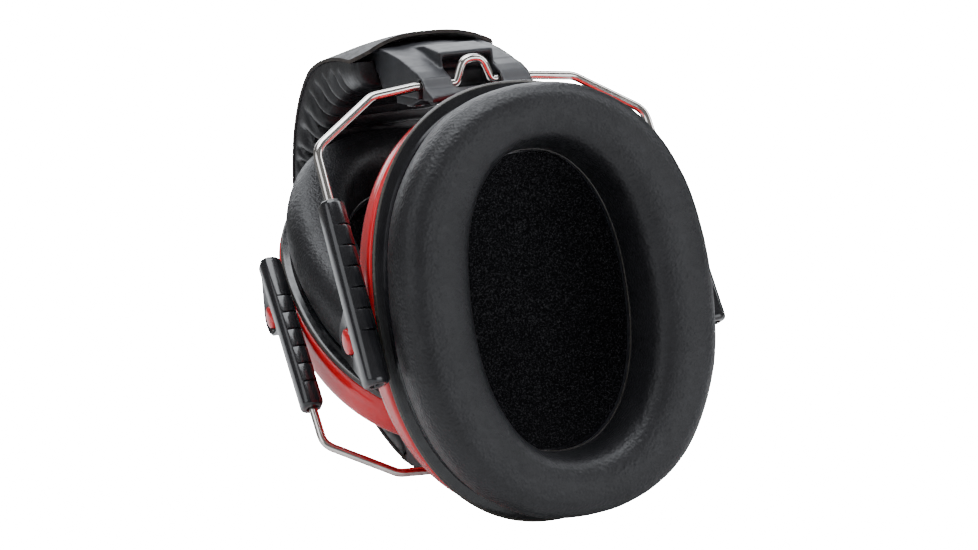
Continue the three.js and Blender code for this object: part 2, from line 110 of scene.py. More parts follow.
def basis(origin, x_axis, y_axis):
    """Matrix from a local frame in millimetres to the row frame in metres."""
    z_axis = x_axis.cross(y_axis)
    columns = Matrix((x_axis, y_axis, z_axis)).transposed().to_4x4()
    return Matrix.Translation(origin) @ columns @ Matrix.Scale(MM, 4)


fold_at = {side: Vector(joints[f"{side}_fold"]["pos_m"]) for side in SIDES}
span_axis = (fold_at["left"] - fold_at["right"]).normalized()
hinge_middle = (fold_at["left"] + fold_at["right"]) / 2
across = Vector((1, 0, 0))
MUFF = basis(hinge_middle, across, span_axis.cross(across))
SIDE = {
    "left": MUFF,
    "right": MUFF @ Matrix.Rotation(math.pi, 4, "Y"),
}
YOKE = {}
SLIDERS = {}
CUPS = {}
for side in SIDES:
    fold_axis = Vector(joints[f"{side}_fold"]["axis"])
    up_leg = -Vector(joints[f"{side}_slide"]["axis"])
    YOKE[side] = basis(fold_at[side], fold_axis, up_leg)
    pivot = basis(Vector(joints[f"{side}_cup_tilt"]["pos_m"]), fold_axis, up_leg)
    SLIDERS[side] = pivot @ Matrix.Translation((0, SLIDER["pivot_down"], SLIDER["pivot_in"]))
    CUPS[side] = pivot @ Matrix.Rotation(math.radians(CUP_TILT[side]), 4, "X")


def end_name(side, end):
    """The side's own +X or -X end, named by where it lies on the muff: front is -X."""
    facing = 1 if side == "left" else -1
    return "front" if end * facing < 0 else "rear"


# ------------------------ camera, floor, light

CAMERA_FROM_HINGES = Vector((-142.7, -337.8, 46.2)) * MM
CAMERA_VIEW = Vector((0.388, 0.9133, -0.1255))
CAMERA_ROLL = -6.1
CAMERA_LENS = 55.1
ROOM_LIGHT = 0.17
BACKDROP_GLOW = 30.0  # the camera sees the room and the floor as plain white
FLOOR_GLOW = 32.0


def look_along(view, roll_degrees=0.0):
    """Rotation of a camera or light that looks along `view`, rolled about it."""
    back = -view.normalized()
    right = Vector((0, 0, 1)).cross(back).normalized()
    up = back.cross(right)
    rotation = Matrix((right, up, back)).transposed()
    return (rotation @ Matrix.Rotation(math.radians(roll_degrees), 3, "Z")).to_euler()


def make_camera():
    """The photograph's camera: where it stood, how it was turned, and its lens."""
    camera = bpy.data.objects.new("photo_camera", bpy.data.cameras.new("photo_camera"))
    bpy.context.scene.collection.objects.link(camera)
    camera.location = hinge_middle + CAMERA_FROM_HINGES
    camera.rotation_euler = look_along(CAMERA_VIEW, CAMERA_ROLL)
    camera.data.lens = CAMERA_LENS
    camera.data.sensor_width = 36.0
    camera.data.clip_start = 0.01
    camera.data.clip_end = 20
    bpy.context.scene.camera = camera


def make_light(name, location, size, power, size_y=None):
    """Area light aimed at the muff."""
    light = bpy.data.lights.new(name, "AREA")
    light.shape = "RECTANGLE"
    light.size = size
    light.size_y = size_y or size
    light.energy = power
    light.color = (0.93, 0.96, 1.0)
    lamp = bpy.data.objects.new(name, light)
    bpy.context.scene.collection.objects.link(lamp)
    lamp.location = location
    lamp.rotation_euler = look_along(hinge_middle - Vector(location))


def make_studio():
    """Soft boxes round the muff, in a dim room that the camera sees as plain white."""
    make_light("front_softbox", (0.42, -1.00, 0.08), 0.60, 3.6)
    make_light("left_softbox", (-0.80, -0.30, 0.45), 0.50, 1.9, 0.7)
    make_light("top_softbox", (-0.05, -0.10, 0.85), 0.60, 7.0)
    make_light("right_strip", (0.62, -0.25, 0.62), 0.22, 3.0, 0.8)
    make_light("back_softbox", (0.10, 0.70, 0.60), 0.80, 6.0)
    world = bpy.data.worlds.new("studio")
    bpy.context.scene.world = world
    world.use_nodes = True
    nodes = world.node_tree.nodes
    links = world.node_tree.links
    room = nodes["Background"]
    room.inputs["Strength"].default_value = ROOM_LIGHT
    room.inputs["Color"].default_value = (1.0, 1.0, 1.0, 1.0)
    backdrop = nodes.new("ShaderNodeBackground")
    backdrop.inputs["Color"].default_value = (1.0, 1.0, 1.0, 1.0)
    backdrop.inputs["Strength"].default_value = BACKDROP_GLOW
    seen = nodes.new("ShaderNodeMixShader")
    links.new(nodes.new("ShaderNodeLightPath").outputs["Is Camera Ray"], seen.inputs["Fac"])
    links.new(room.outputs["Background"], seen.inputs[1])
    links.new(backdrop.outputs["Background"], seen.inputs[2])
    links.new(seen.outputs["Shader"], nodes["World Output"].inputs["Surface"])


# ------------------------ materials


class Look:
    """A procedural material under construction."""

    def __init__(self, name, color, roughness, metallic=0.0, coat=0.0):
        self.material = bpy.data.materials.new(name)
        self.material.use_nodes = True
        self.nodes = self.material.node_tree.nodes
        self.links = self.material.node_tree.links
        self.shader = self.nodes["Principled BSDF"]
        self.shader.inputs["Base Color"].default_value = (*color, 1)
        self.shader.inputs["Roughness"].default_value = roughness
        self.shader.inputs["Metallic"].default_value = metallic
        self.shader.inputs["Coat Weight"].default_value = coat
        self.shader.inputs["Coat Roughness"].default_value = 0.08
        self.coordinates = self.add("ShaderNodeTexCoord").outputs["Object"]
        self.material.diffuse_color = (*color, 1)

    def add(self, kind, **settings):
        node = self.nodes.new(kind)
        for key, value in settings.items():
            if key in node.inputs:
                node.inputs[key].default_value = value
            else:
                setattr(node, key, value)
        return node

    def stretched(self, scale):
        mapping = self.add("ShaderNodeMapping", Scale=scale)
        self.links.new(self.coordinates, mapping.inputs["Vector"])
        return mapping.outputs["Vector"]

    def noise(self, size_mm, detail=3.0, vector=None, roughness=0.5):
        node = self.add("ShaderNodeTexNoise", Scale=1 / (size_mm * MM), Detail=detail, Roughness=roughness)
        self.links.new(vector or self.coordinates, node.inputs["Vector"])
        return node.outputs["Fac"]

    def cells(self, size_mm, feature="F1"):
        node = self.add("ShaderNodeTexVoronoi", Scale=1 / (size_mm * MM), feature=feature)
        self.links.new(self.coordinates, node.inputs["Vector"])
        return node.outputs["Distance"]

    def ramp(self, value, low, high, stops=(0.0, 1.0)):
        node = self.add("ShaderNodeValToRGB")
        ramp = node.color_ramp
        ramp.elements[0].position, ramp.elements[1].position = stops
        ramp.elements[0].color = (*low, 1)
        ramp.elements[1].color = (*high, 1)
        self.links.new(value, node.inputs["Fac"])
        return node.outputs["Color"]

    def span(self, value, low, high, from_low=0.0, from_high=1.0):
        node = self.add("ShaderNodeMapRange")
        node.inputs["From Min"].default_value = from_low
        node.inputs["From Max"].default_value = from_high
        node.inputs["To Min"].default_value = low
        node.inputs["To Max"].default_value = high
        self.links.new(value, node.inputs["Value"])
        return node.outputs["Result"]

    def paint(self, color):
        self.links.new(color, self.shader.inputs["Base Color"])

    def shine(self, value):
        self.links.new(value, self.shader.inputs["Roughness"])

    def mottle(self, size_mm, detail, dark, light, spread=(0.3, 0.7)):
        """Colour that drifts between two shades in patches of a size."""
        self.paint(self.ramp(self.noise(size_mm, detail), dark, light, spread))

    def polish(self, size_mm, detail, low, high, spread=(0.3, 0.7)):
        """Roughness that drifts between two values in patches of a size."""
        self.shine(self.span(self.noise(size_mm, detail), low, high, *spread))

    def bump(self, *layers):
        """Layers are (height, strength, depth in mm), coarsest first."""
        previous = None
        for height, strength, depth in layers:
            node = self.add("ShaderNodeBump", Strength=strength, Distance=depth * MM)
            self.links.new(height, node.inputs["Height"])
            if previous:
                self.links.new(previous, node.inputs["Normal"])
            previous = node.outputs["Normal"]
        self.links.new(previous, self.shader.inputs["Normal"])


def cushion_film_look():
    """Soft black film of the ear cushions: fine leather grain, faint sheen."""
    look = Look("cushion_film", (0.012, 0.012, 0.014), 0.42)
    look.mottle(9, 3, (0.008, 0.008, 0.0095), (0.015, 0.015, 0.017))
    look.polish(2.5, 4, 0.38, 0.5)
    look.bump(
        (look.noise(6, 2), 0.3, 0.3),
        (look.noise(0.9, 3, roughness=0.6), 0.6, 0.24),
        (look.cells(0.7), 0.5, 0.2),
    )
    look.shader.inputs["Specular IOR Level"].default_value = 0.45
    return look.material


def band_film_look():
    """Film of the band's pad, a little glossier along its folds."""
    look = Look("band_film", (0.02, 0.02, 0.022), 0.42)
    look.mottle(7, 3, (0.007, 0.007, 0.0085), (0.016, 0.016, 0.018))
    look.polish(3, 4, 0.28, 0.42)
    look.bump(
        (look.noise(2.2, 3), 0.3, 0.2),
        (look.cells(0.8, "DISTANCE_TO_EDGE"), 0.5, 0.15),
    )
    return look.material


def leatherette_look():
    """Matt leatherette of the band's outer strip, pebbled."""
    look = Look("band_leatherette", (0.03, 0.03, 0.033), 0.6)
    look.mottle(5, 4, (0.012, 0.012, 0.0135), (0.026, 0.026, 0.029))
    look.polish(1.5, 4, 0.5, 0.7)
    look.bump(
        (look.cells(1.3, "DISTANCE_TO_EDGE"), 0.7, 0.3),
        (look.noise(0.5, 3), 0.4, 0.1),
    )
    look.shader.inputs["Sheen Weight"].default_value = 0.12
    return look.material


def cut_edge_look():
    """Raw brownish edge where the strip was cut."""
    look = Look("band_cut_edge", (0.05, 0.035, 0.028), 0.65)
    look.mottle(1.5, 4, (0.014, 0.011, 0.009), (0.05, 0.037, 0.029), (0.35, 0.65))
    look.bump((look.noise(0.3, 4), 0.5, 0.08))
    return look.material


def foam_look():
    """Open-cell foam: near black with small pale specks."""
    look = Look("open_cell_foam", (0.02, 0.02, 0.02), 0.95)
    specks = look.noise(0.4, 4, roughness=0.7)
    look.paint(look.ramp(specks, (0.003, 0.003, 0.004), (0.09, 0.09, 0.095), (0.5, 0.76)))
    look.bump(
        (look.noise(4, 2), 0.3, 0.5),
        (look.cells(0.55), 0.6, 0.3),
        (specks, 0.5, 0.2),
    )
    look.shader.inputs["Specular IOR Level"].default_value = 0.15
    return look.material


def gloss_red_look():
    """Glossy moulded red of shells and studs."""
    look = Look("gloss_red", (0.74, 0.01, 0.018), 0.2, coat=0.25)
    look.mottle(20, 2, (0.68, 0.008, 0.014), (0.82, 0.014, 0.024))
    look.polish(4, 5, 0.13, 0.24, (0.35, 0.75))
    look.bump((look.noise(3, 2), 0.05, 0.08))
    return look.material


def gloss_black_look():
    """Glossy moulded black of sliders and rim plates."""
    look = Look("gloss_black", (0.012, 0.012, 0.014), 0.2, coat=0.4)
    look.mottle(6, 3, (0.009, 0.009, 0.011), (0.018, 0.018, 0.02))
    look.polish(2, 5, 0.14, 0.28, (0.35, 0.75))
    look.bump((look.noise(1.6, 3), 0.08, 0.06))
    return look.material


def satin_black_look():
    """Satin moulded black of the hinges."""
    look = Look("satin_black", (0.03, 0.031, 0.035), 0.42)
    look.mottle(8, 3, (0.022, 0.0225, 0.026), (0.034, 0.035, 0.040))
    look.polish(3, 4, 0.36, 0.48)
    look.bump((look.noise(0.25, 3), 0.22, 0.03))
    return look.material


def rim_highlight_look():
    """Brown-black lighter than the plate's gloss black, painted on the rolled rim as its highlight; the
    weld bead shares it.
    """
    look = Look("rim_painted_highlight", (0.06, 0.055, 0.05), 0.3, coat=0.1)
    look.mottle(14, 2, (0.050, 0.045, 0.040), (0.066, 0.060, 0.054))
    look.polish(3, 4, 0.2, 0.32)
    look.bump((look.noise(0.3, 3), 0.12, 0.03))
    return look.material


def steel_look(name, tint, roughness):
    """Drawn steel, streaked along the wire."""
    look = Look(name, tint, roughness, metallic=1.0)
    drawn = look.noise(0.3, 4, look.stretched((1, 0.08, 0.08)))
    look.shine(look.span(drawn, roughness * 0.75, roughness * 1.35, 0.3, 0.7))
    dark = tuple(channel * 0.82 for channel in tint)
    look.paint(look.ramp(look.noise(5, 3), dark, tint, (0.3, 0.6)))
    look.bump((drawn, 0.08, 0.02))
    return look.material


def floor_look():
    """Pale floor that the camera sees as white, as an overlit studio sweep is."""
    look = Look("studio_floor", (0.75, 0.75, 0.75), 0.8)
    look.mottle(120, 2, (0.72, 0.72, 0.72), (0.78, 0.78, 0.78))
    look.shader.inputs["Specular IOR Level"].default_value = 0.1
    glow = look.add("ShaderNodeEmission", Strength=FLOOR_GLOW)
    seen = look.span(look.add("ShaderNodeLightPath").outputs["Is Camera Ray"], 0.0, 0.9)
    mix = look.add("ShaderNodeMixShader")
    look.links.new(seen, mix.inputs["Fac"])
    look.links.new(look.shader.outputs["BSDF"], mix.inputs[1])
    look.links.new(glow.outputs["Emission"], mix.inputs[2])
    look.links.new(mix.outputs["Shader"], look.nodes["Material Output"].inputs["Surface"])
    return look.material


LOOKS = {
    "cushion_film": cushion_film_look(),
    "band_film": band_film_look(),
    "band_leatherette": leatherette_look(),
    "cut_edge": cut_edge_look(),
    "foam": foam_look(),
    "gloss_red": gloss_red_look(),
    "gloss_black": gloss_black_look(),
    "satin_black": satin_black_look(),
    # lighter brown-black: the rolled rim's painted highlight, also used on the weld bead
    "rim": rim_highlight_look(),
    "wire": steel_look("bright_wire", (0.86, 0.82, 0.78), 0.12),
    "spring_steel": steel_look("spring_strip", (0.45, 0.45, 0.46), 0.35),
    "screw_steel": steel_look("plated_screw", (0.55, 0.55, 0.55), 0.3),
}

# ------------------------ mesh helpers


def finish_piece(piece, body, nodes=()):
    """Puts a finished piece on its CAD body, in place of its CAD nodes."""
    if nodes:
        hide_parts(*nodes)
    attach(piece, body)
    return piece


def make_piece(name, points, faces, place, looks, face_looks=None, angle=40):
    """A smooth-shaded mesh from points in a local frame, in millimetres."""
    mesh = bpy.data.meshes.new(name)
    mesh.from_pydata([place @ Vector(point) for point in points], [], faces)
    for look in looks:
        mesh.materials.append(LOOKS[look])
    if face_looks:
        mesh.polygons.foreach_set("material_index", face_looks)
    tidy = bmesh.new()
    tidy.from_mesh(mesh)
    bmesh.ops.remove_doubles(tidy, verts=tidy.verts, dist=1e-7)
    bmesh.ops.recalc_face_normals(tidy, faces=tidy.faces)
    tidy.to_mesh(mesh)
    tidy.free()
    mesh.shade_smooth()
    mesh.set_sharp_from_angle(angle=math.radians(angle))
    piece = bpy.data.objects.new(name, mesh)
    bpy.context.scene.collection.objects.link(piece)
    return piece


def grid_faces(rows, columns, close_rows, close_columns):
    """Quads of a grid of points stored row by row."""
    faces = []
    for i in range(rows if close_rows else rows - 1):
        here = i * columns
        below = (i + 1) % rows * columns
        for j in range(columns if close_columns else columns - 1):
            right = (j + 1) % columns
            faces.append((here + j, here + right, below + right, below + j))
    return faces


def closing_fans(rows, columns):
    """Triangles that close a grid's first and last rows on two poles stored after it."""
    faces = []
    for pole, row in enumerate((0, rows - 1)):
        base = row * columns
        faces += [(base + j, base + (j + 1) % columns, rows * columns + pole) for j in range(columns)]
    return faces


def add_modifier(piece, kind, **settings):
    modifier = piece.modifiers.new(kind.lower(), kind)
    for key, value in settings.items():
        setattr(modifier, key, value)


def apply_modifiers(piece):
    """Replaces the piece's mesh by what its modifiers make of it."""
    bpy.context.view_layer.update()
    evaluated = piece.evaluated_get(bpy.context.evaluated_depsgraph_get())
    mesh = bpy.data.meshes.new_from_object(evaluated)
    piece.modifiers.clear()
    piece.data = mesh


def smooth_path(points, steps):
    """Catmull-Rom points through a list of points, ends kept."""
    padded = [points[0], *points, points[-1]]
    result = []
    for i in range(len(points) - 1):
        a, b, c, d = (Vector(p) for p in padded[i:i + 4])
        for k in range(steps):
            t = k / steps
            square = (2 * a - 5 * b + 4 * c - d) * t * t
            cube = (3 * b - a - 3 * c + d) * t ** 3
            result.append(0.5 * (2 * b + (c - a) * t + square + cube))
    result.append(Vector(points[-1]))
    return [tuple(p) for p in result]


def rising(value, low, high):
    """0 up to `low`, 1 from `high` on, straight in between."""
    return min(1.0, max(0.0, (value - low) / (high - low)))


def ripple(point, size, seed=0.0):
    """Smooth noise from -1 to 1 with features of a size in millimetres."""
    return noise.noise(Vector(point) / size + Vector((seed, seed * 1.7, -seed)))


# ------------------------ ovals of the cup


def squared(value):
    """Cosine or sine of a circle turned into that of the cup's squarish oval."""
    return math.copysign(abs(value) ** (2 / CUP["squareness"]), value)


def shell_length(radius):
    return CUP["longer"] * radius - CUP["shell_trim"]


def plate_length(radius):
    return CUP["longer"] * radius + CUP["plate_lip"]


def cushion_length(radius):
    share = (radius - CUP["ear_hole"]) / (CUP["cushion"] - CUP["ear_hole"])
    return radius + CUP["hole_extra"] + (CUP["cushion_extra"] - CUP["hole_extra"]) * share


def oval_points(profile, lengthen, segments, nudge=None):
    """Points of a profile [(half width, z)] carried round the oval, row by row."""
    points = []
    for radius, z in profile:
        for k in range(segments):
            angle = 2 * math.pi * k / segments
            x = radius * squared(math.cos(angle))
            y = lengthen(radius) * squared(math.sin(angle)) - CUP["centre_drop"]
            point = Vector((x, y, z))
            points.append(point + nudge(point) if nudge else point)
    return points


def oval_ring(name, profile, lengthen, place, looks, segments=160, nudge=None, angle=40, kinds=None):
    """A closed ring: the profile is a closed loop. `kinds` picks a look for each span of it."""
    points = oval_points(profile, lengthen, segments, nudge)
    faces = grid_faces(len(profile), segments, True, True)
    face_looks = [kind for kind in kinds for _ in range(segments)] if kinds else None
    return make_piece(name, points, faces, place, looks, face_looks, angle)


def oval_bowl(name, profile, lengthen, place, looks, segments=160, nudge=None, angle=40):
    """A closed bowl or dish: the profile runs from one pole of the axis to the other."""
    inner = profile[1:-1]
    points = oval_points(inner, lengthen, segments, nudge)
    points += [Vector((0, -CUP["centre_drop"], z)) for _, z in (profile[0], profile[-1])]
    faces = grid_faces(len(inner), segments, False, True) + closing_fans(len(inner), segments)
    return make_piece(name, points, faces, place, looks, angle=angle)


def dome_half_width(z, depth, half_width):
    return half_width * (1 - (z / depth) ** CUP["fullness"]) ** (1 / CUP["fullness"])


def dome_profile(half_width, depth, mouth, steps=26):
    """From the mouth up the wall and over to the pole."""
    heights = [depth * math.sin(math.pi / 2 * k / steps) for k in range(steps)]
    wall = [(dome_half_width(z, depth, half_width - 0.6), z) for z in heights]
    return [(half_width, mouth), *wall, (0, depth)]


# ------------------------ cup pieces


def make_shell(side):
    """Glossy dome with a beaded rim, hollow, with the two pivot bosses on its sides."""
    outside = dome_profile(CUP["half_width"], CUP["dome"], CUP["mouth"] + 0.5)
    inside = dome_profile(CUP["half_width"] - CUP["wall"], CUP["dome"] - CUP["wall"], CUP["mouth"] + 0.3)
    bead = [(CUP["half_width"] - 0.35, CUP["mouth"]), (CUP["half_width"] - 1.6, CUP["mouth"])]
    profile = list(reversed(outside)) + bead + inside
    shell = oval_bowl(f"{side}_shell", profile, shell_length, CUPS[side], ["gloss_red"], angle=55)
    finish_piece(shell, f"{side}_cup", [f"{side}_cup_shell"])
    for end in (-1, 1):
        make_boss(side, end)


def turned(profile, place, name, looks, segments=40, angle=35):
    """A round piece about local X from a profile [(radius, x)] that starts and ends on the axis."""
    points = []
    inner = profile[1:-1]
    for radius, x in inner:
        for k in range(segments):
            turn = 2 * math.pi * k / segments
            points.append((x, radius * math.cos(turn), radius * math.sin(turn)))
    points += [(x, 0, 0) for _, x in (profile[0], profile[-1])]
    faces = grid_faces(len(inner), segments, False, True) + closing_fans(len(inner), segments)
    return make_piece(name, points, faces, place, looks, angle=angle)


def make_boss(side, end):
    """Turned boss on the side of the shell that the slider's ear rubs on."""
    face = CUP["boss_face"]
    root = CUP["boss_root"]
    radius = CUP["boss"]
    profile = [
        (0, root), (radius + 1.2, root), (radius + 0.9, root + 2.4), (radius + 0.25, root + 3.1),
        (radius, root + 3.8), (radius, face - 0.3), (radius - 0.3, face), (0, face),
    ]
    profile = [(r, x * end) for r, x in profile]
    boss = turned(profile, CUPS[side], f"{side}_boss_{end_name(side, end)}", ["gloss_red"])
    finish_piece(boss, f"{side}_cup")


def make_stud(side, end):
    """Domed red snap stud seen in the slider's ear."""
    radius = CUP["stud"]
    shank = CUP["stud_shank"]
    start = CUP["shank_start"]
    neck = CUP["boss_face"] + 0.35
    cap = CUP["stud_cap"]
    profile = [
        (0, start), (shank, start), (shank, neck), (radius - 0.15, neck), (radius, neck + 0.2),
        (radius, cap), (radius - 0.2, cap + 0.4), (radius - 0.7, cap + 0.65),
        (radius * 0.45, cap + 0.8), (0, cap + 0.84),
    ]
    profile = [(r, x * end) for r, x in profile]
    name = end_name(side, end)
    stud = turned(profile, CUPS[side], f"{side}_stud_{name}", ["gloss_red"])
    finish_piece(stud, f"{side}_cup", [f"{side}_pivot_stud_{name}"])


def make_plate(side):
    """Thin rim plate with a rolled edge, and the neck that the cushion snaps on."""
    top = CUP["mouth"] - 0.35
    edge = CUP["plate"]
    inner = CUP["plate_inner"]
    profile = [
        (inner, top), (edge - 0.5, top), (edge - 0.1, top - 0.2), (edge, top - 0.6),
        (edge - 0.1, top - 1.0), (edge - 0.5, top - 1.25), (edge - 1.2, top - 1.35),
        (edge - 2.2, top - 1.6), (edge - 2.6, top - 2.6), (inner, top - 2.6),
    ]
    # The rolled edge's spans take the lighter rim look as a painted highlight; the other spans stay gloss
    # black.
    rolled = [0, 1, 1, 1, 1, 0, 0, 0, 0, 0]
    looks = ["gloss_black", "rim"]
    plate = oval_ring(f"{side}_plate", profile, plate_length, CUPS[side], looks, angle=50, kinds=rolled)
    finish_piece(plate, f"{side}_cup", [f"{side}_cup_plate"])


def make_cushion_ring(side):
    """Stiff ring inside the cushion's base that snaps on the plate's neck."""
    top = CUP["mouth"] - 3.3
    edge = CUP["ring"]
    inner = CUP["ring_inner"]
    profile = [
        (inner, top), (edge - 0.2, top), (edge, top - 0.3), (edge, top - 0.9), (edge - 0.2, top - 1.2),
        (inner, top - 1.2),
    ]
    ring = oval_ring(f"{side}_ring", profile, cushion_length, CUPS[side], ["satin_black"])
    finish_piece(ring, f"{side}_cup", [f"{side}_cushion_ring"])


def slack(point):
    """Shallow hollows and swells of film over foam, none at the welded base."""
    lift = rising(CUP["cushion_base"] - point.z, 0, 4)
    swell = 0.28 * ripple(point, 17, 3) + 0.10 * ripple(point, 6, 8)
    away = Vector((point.x, point.y, -6)).normalized()
    return away * swell * lift


def make_cushion(side):
    """Soft film cushion: full outer wall, crowned face, wall of the ear hole, and film lining."""
    base = CUP["cushion_base"]
    front = CUP["front"]
    outline = [
        (36.6, base), (37.4, -11.0), (38.1, -13.5), (CUP["cushion"], -16.6), (38.1, -19.6),
        (36.8, -22.2), (34.4, -23.8), (31.0, front), (27.8, -23.95), (25.2, -23.2), (23.3, -21.9),
        (22.2, -20.0), (21.7, -17.5), (21.4, -14.0), (21.3, base),
    ]
    lining = [
        (22.5, base), (22.7, -14), (23.1, -17.4), (23.7, -19.4), (25.0, -21.2), (27.6, -22.4),
        (31.0, -22.8), (34.2, -22.3), (36.0, -20.8), (37.0, -18.8), (37.2, -16.2), (36.6, -13),
        (35.5, base),
    ]
    profile = smooth_path(outline, 5) + smooth_path(lining, 2)
    look = ["cushion_film"]
    cushion = oval_ring(f"{side}_cushion", profile, cushion_length, CUPS[side], look, 220, slack, 75)
    finish_piece(cushion, f"{side}_cup", [f"{side}_cushion_cover"])


def make_cushion_core(side):
    """The cushion's foam, hidden inside its film."""
    base = CUP["cushion_base"]
    outline = [
        (23.3, base), (23.5, -14), (23.9, -17.2), (24.6, -19.0), (25.8, -20.4), (27.9, -21.5),
        (31.0, -22.0), (33.8, -21.5), (35.4, -20.1), (36.3, -18.2), (36.5, -16), (35.9, -13),
        (34.8, base),
    ]
    profile = smooth_path(outline, 2)
    core = oval_ring(f"{side}_cushion_core", profile, cushion_length, CUPS[side], ["foam"], 120)
    finish_piece(core, f"{side}_cup", [f"{side}_cushion_foam"])


def make_weld(side):
    """Thin bead where the cushion's film is welded round the ear opening."""
    middle = (21.35, -10.0)
    radius = 0.26
    sides = 8
    turns = [2 * math.pi * k / sides for k in range(sides)]
    profile = [(middle[0] + radius * math.cos(turn), middle[1] + radius * math.sin(turn)) for turn in turns]
    # The bead is painted lighter than the film, in the rim's painted-highlight brown-black.
    weld = oval_ring(f"{side}_weld", profile, cushion_length, CUPS[side], ["rim"], 160)
    finish_piece(weld, f"{side}_cup")


def foam_surface(point):
    """Low lumps and pores of a cut foam face."""
    return Vector((0, 0, 0.25 * ripple(point, 2.2, 5) + 0.3 * ripple(point, 9, 2)))


def make_liner(side):
    """Open-cell foam dish seen through the ear hole."""
    half = CUP["half_width"] - CUP["wall"] - 2.6
    depth = CUP["dome"] - CUP["wall"] - 1.2
    back = dome_profile(half, depth, -3.6, 14)[::-1]
    face = [
        (half - 0.5, -4.1), (28.5, -3.9), (26.6, -3.2), (24.5, -0.4), (21.5, 1.8), (17, 3.2),
        (9, 3.9), (0, 4.1),
    ]
    profile = back + smooth_path(face, 3)
    liner = oval_bowl(f"{side}_liner", profile, shell_length, CUPS[side], ["foam"], 200, foam_surface, 80)
    finish_piece(liner, f"{side}_cup", [f"{side}_cup_foam"])


# ------------------------ sliders


def slider_section(width, depth, sink=0.0, side=1):
    """Rounded octagon across the wire. Its outboard (+Z) face and one chamfer sink in a groove."""
    chamfer = SLIDER["chamfer"]
    corners = [
        (width - chamfer, depth), (width, depth - chamfer), (width, chamfer - depth),
        (width - chamfer, -depth), (chamfer - width, -depth), (-width, chamfer - depth),
        (-width, depth - chamfer), (chamfer - width, depth),
    ]
    points = []
    for i, corner in enumerate(corners):
        here = Vector(corner)
        for other in (corners[i - 1], corners[(i + 1) % len(corners)]):
            points.append(here.lerp(Vector(other), 0.3 / (Vector(other) - here).length))
    sunk = []
    for x, z in points:
        outboard = z > depth - chamfer + 0.05
        smooth_edge = x * side < chamfer - width + 0.6
        fall = sink if outboard and not smooth_edge else 0.0
        sunk.append((x - side * fall * 0.5 * (x * side > 1.2), z - fall))
    return sunk


def slider_stations():
    """Places along the slider: distance from the entry end, size, and depth below the tiles."""
    length = SLIDER["length"]
    plain = SLIDER["plain_sink"]
    groove = SLIDER["groove"]
    stations = [(0.0, 0.80, plain), (0.15, 0.88, plain), (0.5, 0.96, plain), (1.1, 1.0, plain)]
    for i in range(SLIDER["tiles"] + 1):
        middle = SLIDER["plain_end"] + i * SLIDER["pitch"]
        before = plain if i == 0 else 0.0
        after = 0.0 if i < SLIDER["tiles"] else plain
        stations += [
            (middle - 0.5, 1.0, before), (middle - 0.24, 1.0, max(before, 0.1)),
            (middle - 0.16, 1.0, groove), (middle + 0.16, 1.0, groove),
            (middle + 0.24, 1.0, max(after, 0.1)), (middle + 0.5, 1.0, after),
        ]
    stations += [
        (length - 1.3, 1.0, plain), (length - 0.6, 0.97, plain), (length - 0.15, 0.90, plain),
        (length, 0.82, plain),
    ]
    return stations


def slider_body(side):
    """Points and faces of the bar with its bore, closed."""
    stations = slider_stations()
    points = []
    for down, size, sink in stations:
        section = slider_section(SLIDER["half_width"] * size, SLIDER["half_depth"] * size, sink, side)
        points += [(x, -down, z) for x, z in section]
    columns = 16
    turns = [math.pi / 2 - 2 * math.pi * (k + 0.5) / columns for k in range(columns)]
    length = SLIDER["length"]
    mouth = SLIDER["bore"] + 0.25
    bore = [(length, mouth), (length - 0.4, SLIDER["bore"]), (0.4, SLIDER["bore"]), (0.0, mouth)]
    for down, radius in bore:
        points += [(radius * math.cos(turn), -down, radius * math.sin(turn)) for turn in turns]
    return points, grid_faces(len(stations) + len(bore), columns, True, True)


def ear_outline(turn):
    """Distance from the pivot to the ear's edge in a direction in the (y, z) plane: a disc
    joined to the bar by lines that touch it."""
    direction = Vector((math.cos(turn), math.sin(turn)))
    radius = SLIDER["ear_radius"]
    far_end = SLIDER["pivot_down"] - SLIDER["length"]
    corners = [(6.6, SLIDER["pivot_in"] - 2.9), (far_end + 1.2, SLIDER["pivot_in"] - 2.0)]
    best = radius
    for corner in corners:
        away = Vector(corner)
        reach = away.length
        half = math.acos(radius / reach)
        bearing = math.atan2(away.y, away.x)
        for tangent in (bearing - half, bearing + half):
            normal = Vector((math.cos(tangent), math.sin(tangent)))
            toward = direction.dot(normal)
            if toward <= 1e-6:
                continue
            hit = radius / toward
            edge = away - normal * radius
            reached = (direction * hit - normal * radius).dot(edge)
            if 0 <= reached <= edge.length_squared:
                best = max(best, hit)
    top = SLIDER["pivot_in"] - 1.5
    if direction.y > 1e-6:
        best = min(best, top / direction.y)
    return best


def ear_plate(outside):
    """Points and faces of the ear with its stud hole, edges rounded."""
    count = 72
    hole = CUP["stud"] + 0.35
    outer_x = outside * (SLIDER["half_width"] - 0.5)
    inner_x = -outside * SLIDER["ear_inner"]
    sign = 1 if outer_x > inner_x else -1
    rows = [
        (hole + 0.35, outer_x - sign * 0.55), (None, outer_x), (None, outer_x - sign * 0.45),
        (None, inner_x + sign * 0.4), (None, inner_x), (hole + 0.1, inner_x), (hole, inner_x + sign * 0.3),
        (hole, outer_x - sign * 0.9),
    ]
    insets = [0, 0.45, 0.0, 0.0, 0.4, 0, 0, 0]
    points = []
    for (radius, x), inset in zip(rows, insets):
        for k in range(count):
            turn = 2 * math.pi * k / count
            reach = radius if radius else ear_outline(turn) - inset
            points.append((x, -SLIDER["pivot_down"] + reach * math.cos(turn),
                           -SLIDER["pivot_in"] + reach * math.sin(turn)))
    return points, grid_faces(len(rows), count, True, True)


